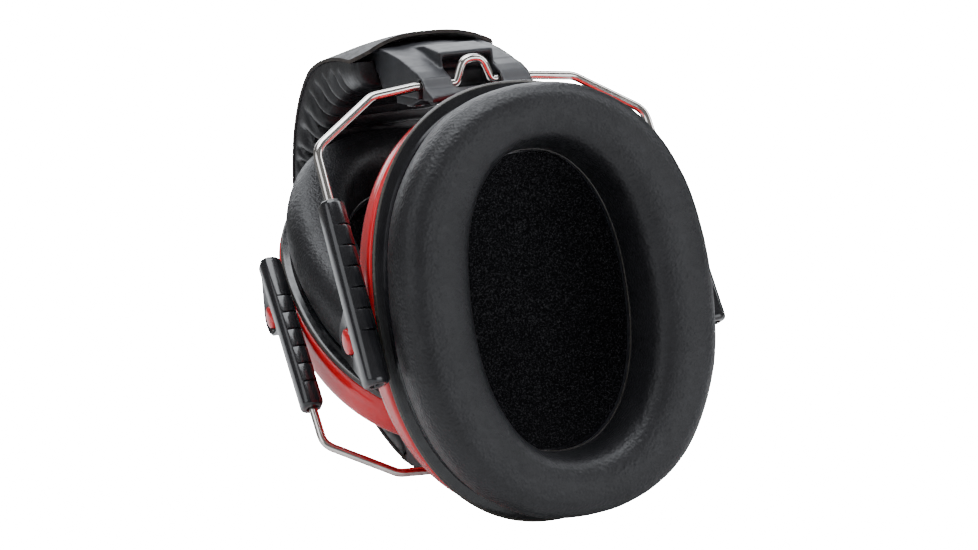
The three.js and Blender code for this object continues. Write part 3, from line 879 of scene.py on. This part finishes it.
def make_slider(side, end):
    """Bar that runs on the wire's leg, with the ear that holds the cup."""
    name = end_name(side, end)
    place = SLIDERS[side] @ Matrix.Translation((end * WIRE["leg"], 0, 0))
    body_points, body_faces = slider_body(-end)
    ear_points, ear_faces = ear_plate(end)
    shift = len(body_points)
    points = body_points + ear_points
    faces = body_faces + [tuple(i + shift for i in face) for face in ear_faces]
    slider = make_piece(f"{side}_slider_body_{name}", points, faces, place, ["gloss_black"], angle=32)
    finish_piece(slider, f"{side}_{name}_slider", [f"{side}_slider_{name}"])


# ------------------------ yoke wire


def rounded_path(corners, radii, steps=8):
    """A polyline with its corners replaced by short curves, one radius for each corner."""
    path = [corners[0]]
    for before, corner, after, radius in zip(corners, corners[1:], corners[2:], radii):
        back = before - corner
        ahead = after - corner
        bend = math.pi - back.angle(ahead)
        reach = min(radius * math.tan(bend / 2), 0.48 * back.length, 0.48 * ahead.length)
        start = corner + back.normalized() * reach
        stop = corner + ahead.normalized() * reach
        for k in range(steps + 1):
            t = k / steps
            path.append(start * (1 - t) ** 2 + corner * 2 * t * (1 - t) + stop * t * t)
    path.append(corners[-1])
    return path


def make_wire(side):
    """One wire: leg, elbow, shoulder, cross bar and stop crank, and the same mirrored."""
    angle = math.radians(WIRE["crank_angle"])
    lift = Vector((0, math.sin(angle), math.cos(angle))) * WIRE["crank"]
    crank = WIRE["crank_half_width"]
    half = [
        Vector((-WIRE["leg"], -WIRE["end"], 0)), Vector((-WIRE["leg"], -WIRE["elbow"], 0)),
        Vector((-WIRE["shoulder"], -WIRE["shoulder_drop"], 0)), Vector((-WIRE["in_housing"], 0, 0)),
        Vector((-crank, 0, 0)), Vector((WIRE["crank_slope"] - crank, 0, 0)) + lift,
    ]
    corners = half + [Vector((-p.x, p.y, p.z)) for p in reversed(half)]
    curve = bpy.data.curves.new(f"{side}_wire", "CURVE")
    curve.dimensions = "3D"
    curve.bevel_depth = WIRE["radius"] * MM
    curve.bevel_resolution = 6
    curve.use_fill_caps = True
    curve.twist_mode = "MINIMUM"
    radii = [WIRE["bend"], WIRE["bend"], WIRE["bend"], WIRE["crank_foot_bend"], WIRE["crank_bend"]]
    path = rounded_path(corners, radii + radii[::-1])
    spline = curve.splines.new("POLY")
    spline.points.add(len(path) - 1)
    for point, place in zip(spline.points, path):
        point.co = (*(YOKE[side] @ place), 1)
    spline.use_smooth = True
    curve.materials.append(LOOKS["wire"])
    wire = bpy.data.objects.new(f"{side}_wire", curve)
    bpy.context.scene.collection.objects.link(wire)
    finish_piece(wire, f"{side}_yoke", [f"{side}_yoke_wire"])


# ------------------------ hinge

# Heights and half widths of the housing's roof at distances along the band.
HOUSING_TOP = [(6.3, 52.1), (13.5, 53.9), (20, 54.9), (27, 55.5), (34, 55.8)]
RIDGE_TOP = [(6.3, 54.3), (10, 55.4), (15, 56.1), (34, 56.2)]
RIDGE_HALF_WIDTH = [(6.3, 6.4), (14, 8.0), (34, 9.5)]


def along(stops, place):
    """Height at a place on a line through [(place, height)]."""
    for (before, low), (after, high) in zip(stops, stops[1:]):
        if place <= after:
            return low + (high - low) * (place - before) / (after - before)
    return stops[-1][1]


def housing_roof():
    """Points and faces of the housing's crowned roof, with the tunnel over the wire's crank."""
    rows = 22
    columns = 28
    half = HOUSING["half_width"]
    base = HOUSING["roof_base"]
    points = []
    for i in range(rows + 1):
        y = HOUSING["near"] + (HOUSING["far"] - HOUSING["near"]) * i / rows
        skin = along(HOUSING_TOP, y)
        ridge = along(RIDGE_TOP, y) - skin
        for k in range(columns + 1):
            x = half * (2 * k / columns - 1)
            rise = max(0.0, 1 - (abs(x) / along(RIDGE_HALF_WIDTH, y)) ** 2)
            points.append((x, y, skin + max(0.0, ridge) * rise))
        points += [(half, y, base), (-half, y, base)]
    loop = columns + 3
    faces = grid_faces(rows + 1, loop, False, True)
    return points, faces + [tuple(range(loop)), tuple(reversed(range(rows * loop, (rows + 1) * loop)))]


def softened(node, name, look, voxel, rounds, place=None, extras=()):
    """The CAD node's own shape, with any extra solids joined on, and its edges rounded as
    moulded plastic has them."""
    tidy = bmesh.new()
    tidy.from_mesh(frame["nodes"][node].data)
    bmesh.ops.remove_doubles(tidy, verts=tidy.verts, dist=1e-6)
    for points, faces in extras:
        corners = [tidy.verts.new(place @ Vector(point)) for point in points]
        added = [tidy.faces.new([corners[i] for i in face]) for face in faces]
        bmesh.ops.recalc_face_normals(tidy, faces=added)
    mesh = bpy.data.meshes.new(name)
    tidy.to_mesh(mesh)
    tidy.free()
    piece = bpy.data.objects.new(name, mesh)
    bpy.context.scene.collection.objects.link(piece)
    add_modifier(piece, "REMESH", mode="VOXEL", voxel_size=voxel * MM, use_smooth_shade=True)
    add_modifier(piece, "SMOOTH", factor=0.5, iterations=rounds)
    apply_modifiers(piece)
    piece.data.materials.clear()
    piece.data.materials.append(LOOKS[look])
    piece.data.shade_smooth()
    return piece


def make_hinge(side):
    """Housing at the end of the band, the plate screwed on under it, and the two screws."""
    look = "satin_black"
    voxel = 0.28
    cad_housing = f"{side}_hinge_housing"
    housing = softened(cad_housing, f"{side}_housing", look, voxel, 18, SIDE[side], [housing_roof()])
    finish_piece(housing, "headband", [cad_housing])
    retainer = softened(f"{side}_hinge_retainer", f"{side}_retainer", look, voxel, 3)
    for vertex in retainer.data.vertices:
        vertex.co.x *= RETAINER_WIDTH
    finish_piece(retainer, "headband", [f"{side}_hinge_retainer"])
    for end in (-1, 1):
        make_screw(side, end)


def make_screw(side, end):
    """Pan head with a hexagon socket."""
    name = end_name(side, end)
    at = Matrix.Translation((end * SCREW["across"], SCREW["along"], 0))
    place = SIDE[side] @ at @ Matrix.Rotation(-math.pi / 2, 4, "Y")
    floor = SCREW["head"]
    socket = SCREW["socket"]
    shank = SCREW["shank"]
    profile = [
        (0, floor), (socket, floor), (socket, floor - 0.7), (1.5, floor - 0.8), (1.95, floor - 0.7),
        (2.2, floor - 0.5), (2.2, floor - 0.3), (shank, floor - 0.3), (shank, SCREW["tip"]),
        (0, SCREW["tip"]),
    ]
    screw = turned(profile, place, f"{side}_screw_{name}", ["screw_steel"], 24)
    finish_piece(screw, "headband", [f"{side}_hinge_screw_{name}"])


# ------------------------ headband


def arch_point(angle, depth):
    """Point (y, z) of the arch at a depth below the cover, and its outward normal."""
    power = 2 / ARCH["fullness"]

    def on_skin(at):
        at = min(max(at, 1e-6), math.pi - 1e-6)
        return Vector((
            ARCH["foot"] + ARCH["rise"] * math.sin(at) ** power,
            ARCH["half_span"] * math.copysign(abs(math.cos(at)) ** power, math.cos(at)),
        ))

    tangent = (on_skin(angle + 0.004) - on_skin(angle - 0.004)).normalized()
    outward = Vector((-tangent.y, tangent.x))
    if outward.dot(on_skin(angle) - Vector((ARCH["foot"], 0))) < 0:
        outward = -outward
    return on_skin(angle) - outward * depth, outward


def arch_angle(height):
    """Angle of the arch's parameter at a height on the left arm."""
    return math.asin(((height - ARCH["foot"]) / ARCH["rise"]) ** (ARCH["fullness"] / 2))


def arch_lengths(start, stop, count):
    """Angles spaced evenly along the arch between two angles, with their distances."""
    fine = 1200
    angles = [start + (stop - start) * i / fine for i in range(fine + 1)]
    spots = [arch_point(angle, 0)[0] for angle in angles]
    distances = [0.0]
    for before, after in zip(spots, spots[1:]):
        distances.append(distances[-1] + (after - before).length)
    result = []
    index = 0
    for k in range(count + 1):
        target = distances[-1] * k / count
        while index < fine and distances[index + 1] < target:
            index += 1
        result.append((angles[min(index, fine)], target))
    result[-1] = (stop, distances[-1])
    return result


def band_piece(name, section_at, stations, looks, face_looks=None, angle=45):
    """Sweeps a closed section round the arch. section_at(angle, distance) gives [(x, depth)]."""
    points = []
    for at, distance in stations:
        section = section_at(at, distance)
        for x, depth in section:
            spot, _ = arch_point(at, depth)
            points.append((x, spot.x, spot.y))
    columns = len(section)
    rows = len(stations)
    faces = grid_faces(rows, columns, False, True)
    kinds = [face_looks[i % columns] if face_looks else 0 for i in range(len(faces))]
    faces.append(tuple(range(columns)))
    faces.append(tuple(reversed(range((rows - 1) * columns, rows * columns))))
    kinds += [len(looks) - 1, len(looks) - 1]
    return make_piece(name, points, faces, MUFF, looks, kinds, angle)


def on_arm(at):
    """0 over the crown, rising to 1 down either arm of the band."""
    return 1 - rising(arch_point(at, 0)[0].x, 58, 88)


def stored(at):
    """1 on the arm that is squeezed between the folded cups, 0 elsewhere."""
    return on_arm(at) if arch_point(at, 0)[0].y < 0 else 0.0


def curl(x, at):
    """Depth that the band's curl adds at x: proud along its middle and drawn in at its edges
    down the arms, lofted evenly over the crown and its corners."""
    share = abs(x) / COVER["half_width"]
    edge = COVER["curl"] + (COVER["stored_curl"] - COVER["curl"]) * stored(at)
    height, span = arch_point(at, 0)[0]
    curled = on_arm(at) if span < 0 else 1 - rising(height, 34, 68)
    return (edge * share ** 2.5 - COVER["crown"]) * curled - COVER["loft"] * (1 - curled)


def make_cover():
    """Leatherette strip, crowned across its width, with a raw cut edge."""
    start = arch_angle(COVER["foot"])
    stations = arch_lengths(start, math.pi - start, 150)
    half = COVER["half_width"]
    total = stations[-1][1]
    columns = 22

    def section(at, distance):
        near_end = min(distance, total - distance)
        taper = 1 - rising(near_end, 0, COVER["end_taper"])
        narrow = COVER["end_narrowing"] * taper ** 2 + COVER["stored_squeeze"] * stored(at)
        top = []
        for k in range(columns + 1):
            share = -1 + 2 * k / columns
            x = share * (half - narrow)
            wave = 0.12 * ripple((x, distance, 0), 14, 1)
            top.append((x, curl(x, at) + wave))
        bottom = [(x * 0.995, depth + COVER["thickness"]) for x, depth in reversed(top)]
        return top + bottom

    kinds = [0] * columns + [1] + [0] * columns + [1]
    cover = band_piece("band_cover", section, stations, ["band_leatherette", "cut_edge"], kinds, 50)
    finish_piece(cover, "headband", ["headband_cover"])


def pad_face(at):
    """Depth of the pad's face: full on arms and corners, thin over the crown."""
    span = abs(arch_point(at, 0)[0].y)
    share = rising(span, PAD["thin_span"], PAD["full_span"])
    fullness = share * share * (3 - 2 * share)
    arm = PAD["face"] if arch_point(at, 0)[0].y > 0 else PAD["right_face"]
    return PAD["pressed_face"] + (arm - PAD["pressed_face"]) * fullness


def bend_of_arch(at):
    """How strongly the arch bends here: 0 on the flat crown and arms, 1 at a corner."""
    before = arch_point(at - 0.03, 0)[1]
    after = arch_point(at + 0.03, 0)[1]
    return min(1.0, before.angle(after) / 0.09)


PAD_OUTLINE = [  # from one edge to the middle: inward, share of the depth, how loose the film is
    (0.0, 0.00, 0.0), (-0.1, 0.14, 0.0), (0.0, 0.36, 0.2), (0.5, 0.60, 0.7), (1.6, 0.81, 1.0),
    (3.6, 0.95, 1.0), (7.0, 1.0, 0.8), (12.0, 1.0, 0.6), (16.0, 1.0, 0.5), (19.4, 1.0, 0.5),
]


def pad_outline(half, edge, face):
    """The pad's section from edge to edge: (x, depth, how loose the film is)."""
    left = [(inward - half, edge + (face - edge) * share, loose) for inward, share, loose in PAD_OUTLINE]
    left[-1] = (0, *left[-1][1:])
    return smooth_path(left + [(-x, depth, loose) for x, depth, loose in reversed(left[:-1])], 2)


def make_pad():
    """Film pad over foam: a soft trough whose film gathers into folds round the corners, with
    padded cheeks beside the hinge tongues at both ends."""
    start = arch_angle(PAD["foot"])
    stations = arch_lengths(start, math.pi - start, 520)
    total = stations[-1][1]

    def section(at, distance):
        near_end = min(distance, total - distance)
        half = PAD["half_width"] - COVER["stored_squeeze"] * stored(at)
        face = pad_face(at)
        edge = PAD["top"] + curl(half, at)
        rounding = 1 - math.sqrt(1 - (1 - rising(near_end, 0, 4)) ** 2)
        gather = min(1.0, 1.8 * bend_of_arch(at)) * rising(near_end, 9, 19)
        gather *= 0.85 + 0.35 * ripple((distance, 0, 0), 9, 12)
        phase = distance / PAD["fold_pitch"] + 0.45 * ripple((distance, 0, 0), 12, 4)
        points = []
        for x, depth, loose in pad_outline(half, edge, face):
            slant = 0.12 * ripple((x, distance, 0), 10, 9)
            crease = abs(math.sin(math.pi * (phase + slant))) ** 0.8
            sunk = (1 - crease) * PAD["fold_depth"] * loose * gather
            side_share = rising(abs(x), half * 0.7, half)
            pull = sunk * 0.8 * side_share + 1.4 * rounding * side_share
            limp = 0.25 * loose * ripple((x, distance, depth), 8, 6)
            drawn_in = sunk * (1 - 0.35 * side_share) + 2.2 * rounding * loose - limp
            points.append((x - math.copysign(pull, x), depth - drawn_in))
        inner = max(edge + 0.4, face - PAD["film"] - 3.4 * gather - 2.2 * rounding)
        closed = 1 - rising(near_end, 8, 18)
        wall = (half - PAD["film"] - 0.4) * (1 - closed) + PAD["cheek"] * closed
        lining = [(wall, edge), (wall - 0.8, inner), (13, inner)]
        return points + lining + [(-x, depth) for x, depth in reversed(lining)]

    pad = band_piece("band_pad", section, stations, ["band_film"], None, 80)
    finish_piece(pad, "headband", ["headband_pad"])


def make_band_foam():
    """Foam strip between the spring and the pad's film."""
    start = arch_angle(BAND_FOAM["foot"])
    stations = arch_lengths(start, math.pi - start, 90)
    top = BAND_FOAM["top"]
    half = BAND_FOAM["half_width"]

    def section(at, distance):
        bottom = max(top + 0.4, pad_face(at) - PAD["film"] - 3.2)
        edge = [(half, top), (half + 0.4, bottom - 0.3), (half - 0.6, bottom)]
        return [(-x, depth) for x, depth in edge] + edge[::-1]

    foam = band_piece("band_foam", section, stations, ["foam"])
    finish_piece(foam, "headband", ["headband_foam"])


def dress_spring():
    """The flat spring keeps its CAD shape and gets its steel."""
    materials = frame["nodes"]["headband_spring"].data.materials
    materials.clear()
    materials.append(LOOKS["spring_steel"])


# ------------------------ floor


def make_floor():
    """Plain floor under the lowest finished piece."""
    size = 6.0
    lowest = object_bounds()[0][2]
    mesh = bpy.data.meshes.new("studio_floor")
    corners = [(x * size, y * size, lowest) for x, y in ((-1, -1), (1, -1), (1, 1), (-1, 1))]
    mesh.from_pydata(corners, [], [(0, 1, 2, 3)])
    mesh.materials.append(floor_look())
    floor = bpy.data.objects.new("studio_floor", mesh)
    bpy.context.scene.collection.objects.link(floor)


# ------------------------ build

make_camera()
make_studio()
make_cover()
make_pad()
make_band_foam()
dress_spring()
for side in SIDES:
    make_hinge(side)
    make_wire(side)
    make_shell(side)
    make_plate(side)
    make_cushion_ring(side)
    make_cushion(side)
    make_cushion_core(side)
    make_weld(side)
    make_liner(side)
    for end in (-1, 1):
        make_slider(side, end)
        make_stud(side, end)
make_floor()
